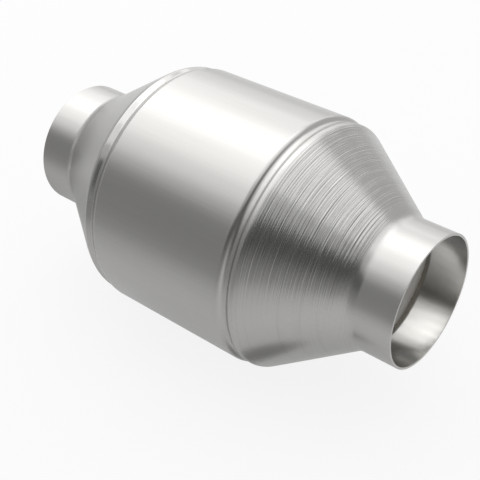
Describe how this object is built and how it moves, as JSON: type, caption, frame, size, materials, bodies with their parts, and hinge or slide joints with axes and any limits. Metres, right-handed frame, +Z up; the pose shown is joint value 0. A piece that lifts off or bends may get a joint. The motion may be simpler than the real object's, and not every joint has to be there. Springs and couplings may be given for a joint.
{
  "type": "catalytic converter",
  "caption": "Spun steel exhaust converter: round shell with a rolled bead, cone and plain pipe neck at each end, holding a ceramic honeycomb in a fibre mat.",
  "frame": {"origin": "middle of the shell, on its axis", "axes": "+X along the axis, out of the outlet neck; +Z up, at right angles to the pipe run; +Y completes the frame"},
  "size_m": [0.2196, 0.127, 0.127],
  "materials": {
    "spun_stainless": "satin",
    "coated_ceramic": "matte",
    "mat_fibre": "matte",
    "knitted_wire": "matte"
  },
  "bodies": {
    "root": {"shell": "spun_stainless", "monolith": "coated_ceramic", "support_mat": "mat_fibre", "inlet_seal": "knitted_wire", "outlet_seal": "knitted_wire"}
  },
  "joints": []
}
